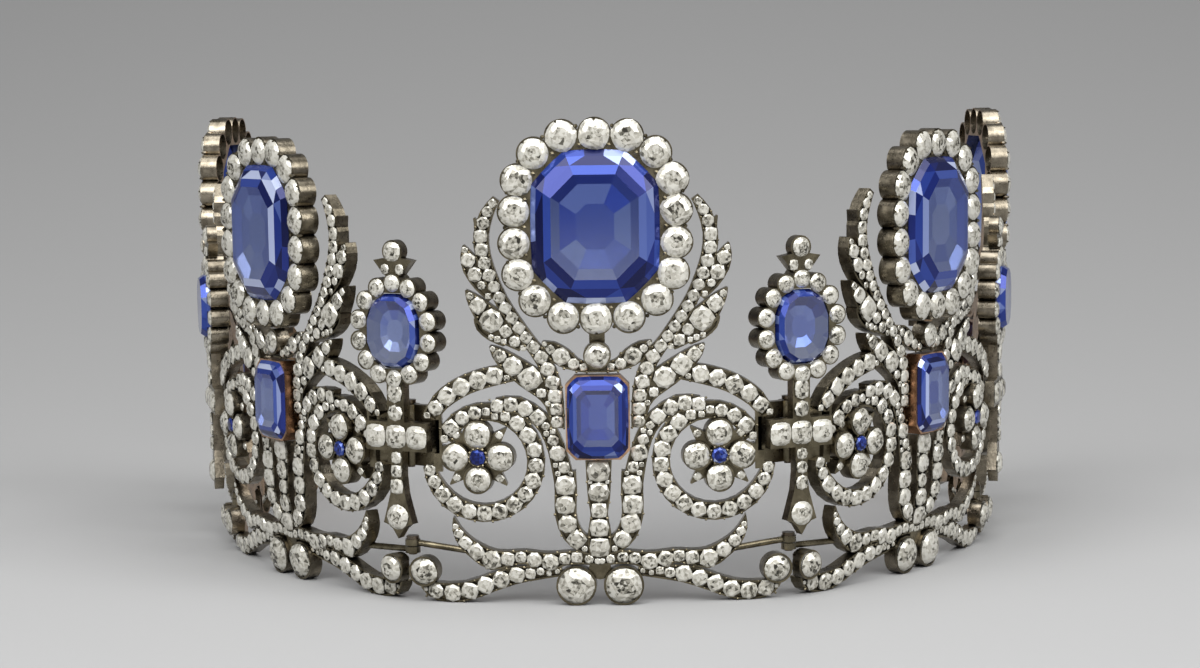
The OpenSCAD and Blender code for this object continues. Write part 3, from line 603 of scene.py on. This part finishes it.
# Smaller stones fill what the rows leave free, the widest places first
def fillers(stones):
    spots = []
    step = pave["fillStep"]
    for i in range(int(plan["halfSpan"] / step)):
        for j in range(int(plan["panelH"] / step)):
            u, z = i * step, j * step
            inside = max(p.z - math.hypot(u - p.x, z - p.y) for line in coarse for p in line)
            free = min(inside - ribbonSize["rim"], roomAt(u, z, ()))
            if free > pave["filler"]:
                nearest = min(math.hypot(u - q[0], z - q[1]) - q[2] for q in stones)
                spots.append([u, z, min(free, nearest - pave["fillGap"])])
    found = []
    while True:
        spots = [s for s in spots if s[2] > pave["filler"]]
        if not spots:
            return found
        u, z, r = max(spots, key=lambda s: s[2])
        found.append((u, z, r, 0.0))
        for s in spots:
            s[2] = min(s[2], math.hypot(s[0] - u, s[1] - z) - r - pave["fillGap"])


paveStones += fillers(paveStones)
print("fine stones of half a panel:", len(paveStones), "grains:", len(paveGrains))

grain = bmesh.new()
bmesh.ops.create_icosphere(grain, subdivisions=1, radius=1)
grainShape = bpy.data.meshes.new("grain")
grain.to_mesh(grainShape)
grain.free()


# The left half mirrors the right one, and what stands in the middle is there once
def bothSides(rows):
    return list(rows) + [(-r[0], *r[1:]) for r in rows if r[0] > 0.05]


# Stones set by hand sit a little askew, and round ones are turned at random
def jitter(rng, amount):
    return (rng.uniform(-amount, amount), rng.uniform(-amount, amount))


anyTurn = 6.28


for name in panelNames:
    rng = random.Random(11 + panelNames.index(name))
    body = "panel_" + name
    place = panelPlace[name]
    bm = bmesh.new()
    for u, z, r, a in bothSides(paveStones):
        size = (r * rng.uniform(*pave["wide"]), r * rng.uniform(*pave["long"]), r)
        addStone(bm, rng.choice(smallCut), seat(
            u, stripFace(u, z) - pave["sunk"], z, size, a if u > 0 else -a, tilt=jitter(rng, pave["tilt"])),
            rng, stoneTones["pave"])
    newPiece("pave_" + name, bm, place, body, diamondSkin)
    bm = bmesh.new()
    for u, z in bothSides(paveGrains):
        addCopy(bm, grainShape, seat(u, stripFace(u, z) + pave["sunk"], z, rng.uniform(*pave["grain"])))
    newPiece("grains_" + name, bm, place, body, [silver])

    bm = bmesh.new()
    for u, z, r in colletRows():
        addStone(bm, rng.choice(oldCut), seat(
            u, face(u, z) + collets["proud"] + collets["stoneOut"], z, r - collets["rim"],
            rng.uniform(0, anyTurn), tilt=jitter(rng, collets["tilt"])), rng, stoneTones["round"])
    newPiece("colletStones_" + name, bm, place, body, diamondSkin,
             ["panel_diamonds_" + name])
    bm = bmesh.new()
    for sign in (-1, 1):
        u, z = sign * flower["at"][0], flower["at"][1]
        addStone(bm, smallCut[0], seat(u, face(u, z) + collets["proud"] + flower["heartOut"], z,
                                       flower["heartR"] - flower["heartRim"]), rng, stoneTones["heart"])
    newPiece("flowerHearts_" + name, bm, place, body, [blueCrown],
             ["flower_sapphires_" + name])
    bm = bmesh.new()
    for sign in (-1, 1):
        for i in range(flower["claws"]):
            a = math.pi / (flower["claws"] / 2) * i
            u = sign * flower["at"][0] + flower["clawRing"] * math.cos(a)
            z = flower["at"][1] + flower["clawRing"] * math.sin(a)
            addCopy(bm, grainShape, seat(u, face(u, z) + collets["proud"], z, flower["clawR"]))
    newPiece("heartClaws_" + name, bm, place, body, [silver])

print("haloes and big stones")
big = {"halfU": 7.25, "halfZ": 8.65, "cut": 3.8, "mid": 44.5, "out": 1.45, "depth": 2.1, "swell": 0.12}
# The quarter holds places on the ring, as shares of its half width and half height
halo = {"halfU": 9.25, "halfZ": 10.5, "stoneR": 1.82, "colletR": 1.95, "girdleOut": 1.52, "rim": 1.5,
        "tilt": 0.05, "uneven": (0.97, 1.02),
        "quarter": [(0.405, 0.981), (0.751, 0.795), (0.957, 0.51), (1, 0.174)]}
# Claws in mm: place past the ring of stones, height under the rim, and radius across, along and outwards
claws = {"outer": (1.05, 0.05, (0.27, 0.27, 0.5)), "inner": (-1.15, 0, (0.3, 0.3, 0.3)),
         "onCollet": (-0.24, 0.2, (0.24, 0.24, 0.6))}
# Size of the halo against the front one, and height of its middle above the front one's
haloRow = {"front": (1, 0), "side": (0.94, -1.35), "rear": (0.97, 0.3)}
# Tones of the big stone and of the one below it, and how far their facets stray. The side and rear stones are
# lighter by a painted reflection on their tables
blueTones = {"front": (0.44, 0.36), "side": (0.55, 0.54), "rear": (0.5, 0.5)}
blueStray = 0.4


def haloSpots(k):
    spots = [(0, halo["halfZ"] * k), (0, -halo["halfZ"] * k)]
    for qu, qz in halo["quarter"]:
        spots += [(su * qu * halo["halfU"] * k, sz * qz * halo["halfZ"] * k)
                  for su in (-1, 1) for sz in (-1, 1)]
    return spots


for name in panelNames:
    rng = random.Random(40 + panelNames.index(name))
    k, rise = haloRow[rowOf(name)]
    bigTone, rectTone = blueTones[rowOf(name)]
    mid = big["mid"] + rise
    body = "panel_" + name
    place = panelPlace[name]
    bm = bmesh.new()
    for u, z in haloSpots(k):
        size = halo["stoneR"] * k * rng.uniform(*halo["uneven"])
        addStone(bm, rng.choice(oldCut), seat(
            u, halo["girdleOut"], mid + z, size, rng.uniform(0, anyTurn), False, jitter(rng, halo["tilt"])),
            rng, stoneTones["halo"])
    newPiece("haloStones_" + name, bm, place, body, diamondSkin,
             ["halo_diamonds_" + name])
    # A claw stands outside and one inside each notch between two collets, and one on each collet
    bm = bmesh.new()
    ordered = sorted(haloSpots(k), key=lambda s: math.atan2(s[1], s[0]))
    for a, b in zip(ordered, ordered[1:] + ordered[:1]):
        notch = Vector(((a[0] + b[0]) / 2, (a[1] + b[1]) / 2))
        reach = {"outer": claws["outer"][0] * k, "inner": claws["inner"][0] * k,
                 "onCollet": halo["colletR"] * k + claws["onCollet"][0]}
        for kind, (_, under, size) in claws.items():
            start = Vector(a) if kind == "onCollet" else notch
            at = start * (1 + reach[kind] / start.length)
            addCopy(bm, grainShape, seat(at.x, halo["rim"] - under, mid + at.y, size, 0, False))
    newPiece("haloClaws_" + name, bm, place, body, [silver])

    bm = bmesh.new()
    shape = stepCut("bigCut", octagon(big["halfU"] * k, big["halfZ"] * k, big["cut"] * k), big["depth"],
                    big["swell"])
    addStone(bm, shape, seat(0, big["out"], mid, 1, 0, False), rng, (bigTone, bigTone, blueStray))
    newPiece("bigStone_" + name, bm, place, body, sapphireSkin,
             ["big_sapphire_" + name])
    bm = bmesh.new()
    shape = stepCut("rectCut", octagon(rect["stoneU"], rect["stoneZ"], rect["stoneCut"]), rect["depth"],
                    rect["swell"])
    addStone(bm, shape, seat(0, rect["out"], rect["mid"], 1, 0, False), rng, (rectTone, rectTone, blueStray))
    newPiece("rectStone_" + name, bm, place, body, sapphireSkin,
             ["rect_sapphire_" + name])

print("ornaments over the hinges")
finial = {"front": 0.45, "ovalU": 3.6, "ovalZ": 4.45, "ovalMid": 32.4, "ovalOut": 0.25, "ovalDepth": 1.9,
          "ovalSwell": 0.03, "clusterR": 1.08, "clusterU": 4.82, "clusterZ": 5.55, "count": 14, "anyTurn": 6}
# How far the stones of an ornament stand out of its front in mm, and how far they are askew
finialSet = {"cluster": (0.2, 0.1), "row": (0.05, 0.04), "pave": (0.04, 0.06)}
# Stones of the bar, the drop and the top: across, up, radius
finialRows = [(-2.8, bar["mid"], 1.42), (0, bar["mid"], 1.42), (2.8, bar["mid"], 1.42), (0, 10.456, 1.5),
              (0, 41.65, 1.16)]
# Smaller stones on the stem, on the drop and under the top one: across, up, radius, length against width
finialFine = [(0, 22.8, 1.02, 1), (0, 25.15, 1.02, 1.25), (0, 17.5, 0.74, 1), (0, 15.9, 0.8, 1),
              (0, 14.1, 0.88, 1.1), (-1.0, 39.6, 0.6, 1.1), (1.0, 39.6, 0.6, 1.1)]


# Twelve sides, a little fuller at the corners than an ellipse
def oval(halfU, halfZ):
    fuller = 0.8
    outline = []
    for i in range(12):
        a = math.radians(15 + 30 * i)
        c, h = math.cos(a), math.sin(a)
        outline.append((halfU * math.copysign(abs(c) ** fuller, c),
                        halfZ * math.copysign(abs(h) ** fuller, h)))
    return outline


ovalShape = stepCut("ovalCut", oval(finial["ovalU"], finial["ovalZ"]), finial["ovalDepth"],
                    finial["ovalSwell"], "thin")
for name in hingeNames:
    rng = random.Random(70 + hingeNames.index(name))
    body = hingeBody[name]
    place = hingePlace[name]
    bm = bmesh.new()
    out, askew = finialSet["cluster"]
    for i in range(finial["count"]):
        a = math.radians(90 + 360 * i / finial["count"])
        u, z = finial["clusterU"] * math.cos(a), finial["ovalMid"] + finial["clusterZ"] * math.sin(a)
        addStone(bm, rng.choice(oldCut), seat(
            u, finial["front"] + out, z, finial["clusterR"], rng.uniform(0, finial["anyTurn"]), False,
            jitter(rng, askew)), rng, stoneTones["round"])
    out, askew = finialSet["row"]
    for u, z, r in finialRows:
        cushion = z == bar["mid"]
        addStone(bm, cushionCut if cushion else rng.choice(oldCut), seat(
            u, finial["front"] + out, z, r, 0 if cushion else rng.uniform(0, finial["anyTurn"]), False,
            jitter(rng, askew)), rng, stoneTones["round"])
    newPiece("finialStones_" + name, bm, place, body, diamondSkin,
             ["finial_diamonds_" + name])
    bm = bmesh.new()
    out, askew = finialSet["pave"]
    for u, z, r, long in finialFine:
        addStone(bm, rng.choice(smallCut), seat(
            u, finial["front"] + out, z, (r, r * long, r), 0, False, jitter(rng, askew)),
            rng, stoneTones["round"])
    newPiece("finialPave_" + name, bm, place, body, diamondSkin)
    bm = bmesh.new()
    addStone(bm, ovalShape, seat(0, finial["ovalOut"], finial["ovalMid"], 1, 0, False),
             rng, stoneTones["oval"])
    newPiece("ovalStone_" + name, bm, place, body, sapphireSkin,
             ["oval_sapphire_" + name])

for node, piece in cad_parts.items():
    kind = gold if node.startswith("rect_collet") else wireSilver if node.startswith("hinge_pin") else silver
    piece.data.materials.clear()
    piece.data.materials.append(kind)

print("floor, light and camera")
# In metres. The paper rises by steepness times the square of the way past risesAt
stage = {"paper": "#979797", "halfWidth": 2, "near": -1.7, "far": 1.5, "risesAt": 0.1, "steepness": 0.55,
         "rows": 120}


# One sheet of paper, level under the crown and sweeping up behind it
def backdrop():
    length = stage["far"] - stage["near"]
    middle = (stage["far"] + stage["near"]) / 2
    bm = bmesh.new()
    bmesh.ops.create_grid(bm, x_segments=2, y_segments=stage["rows"], size=0.5, matrix=Matrix.Translation(
        (0, middle, 0)) @ Matrix.Diagonal((2 * stage["halfWidth"], length, 1, 1)))
    for v in bm.verts:
        v.co.z = stage["steepness"] * max(v.co.y - stage["risesAt"], 0) ** 2
    for f in bm.faces:
        f.smooth = True
    mesh = bpy.data.meshes.new("backdrop")
    bm.to_mesh(mesh)
    bm.free()
    piece = bpy.data.objects.new("backdrop", mesh)
    bpy.context.scene.collection.objects.link(piece)
    mat, tree = newMaterial("matt grey paper", stage["paper"])
    shader = addNode(tree, "ShaderNodeBsdfPrincipled", inputs={
        "Base Color": linear(stage["paper"]), "Roughness": 0.9, "Specular IOR Level": 0.1})
    finishMaterial(tree, shader)
    mesh.materials.append(mat)
    return piece


backdrop()

# Name, place, what it faces, size in metres, watts
lamps = [("softboxLeft", (-0.38, -0.5, 0.45), (0, -0.05, 0.03), 0.45, 3.8),
         ("softboxRight", (0.45, -0.42, 0.42), (0, -0.05, 0.03), 0.45, 4.3),
         ("softboxTop", (0, -0.15, 0.55), (0, -0.1, 0), 0.5, 2.6),
         ("frontFill", (0, -0.6, 0.5), (0, 0, 0.03), 0.45, 2.6)]
for name, at, aim, size, watts in lamps:
    light = bpy.data.lights.new(name, "AREA")
    light.size = size
    light.energy = watts
    lamp = bpy.data.objects.new(name, light)
    lamp.location = at
    lamp.rotation_euler = (Vector(aim) - Vector(at)).to_track_quat("-Z", "Y").to_euler()
    bpy.context.scene.collection.objects.link(lamp)

# Even light from all round softens the shade between the panels
surround = {"colour": "#d8d8d8", "strength": 0.36}
world = bpy.data.worlds.new("studio")
world.use_nodes = True
world.node_tree.nodes["Background"].inputs["Color"].default_value = linear(surround["colour"])
world.node_tree.nodes["Background"].inputs["Strength"].default_value = surround["strength"]
bpy.context.scene.world = world
bpy.context.scene.view_settings.view_transform = "Standard"

# The photo's viewing angle, worked out from the crown's own proportions: angles in degrees, distances in mm
view = {"round": 1.04, "distance": 322.9, "height": 59.7, "down": 7.04, "roll": -0.74, "lens": 73.6,
        "shiftX": -0.0034, "shiftY": 0.0509}
camera = bpy.data.cameras.new("camera")
camera.lens = view["lens"]
camera.sensor_width = 36
camera.shift_x = view["shiftX"]
camera.shift_y = view["shiftY"]
camera.clip_start = 0.01
cameraObject = bpy.data.objects.new("camera", camera)
cameraObject.matrix_world = (Matrix.Rotation(math.radians(view["round"]), 4, "Z")
                             @ Matrix.Translation((0, -view["distance"] * mm, view["height"] * mm))
                             @ Matrix.Rotation(math.radians(90 - view["down"]), 4, "X")
                             @ Matrix.Rotation(math.radians(view["roll"]), 4, "Z"))
bpy.context.scene.collection.objects.link(cameraObject)
bpy.context.scene.camera = cameraObject
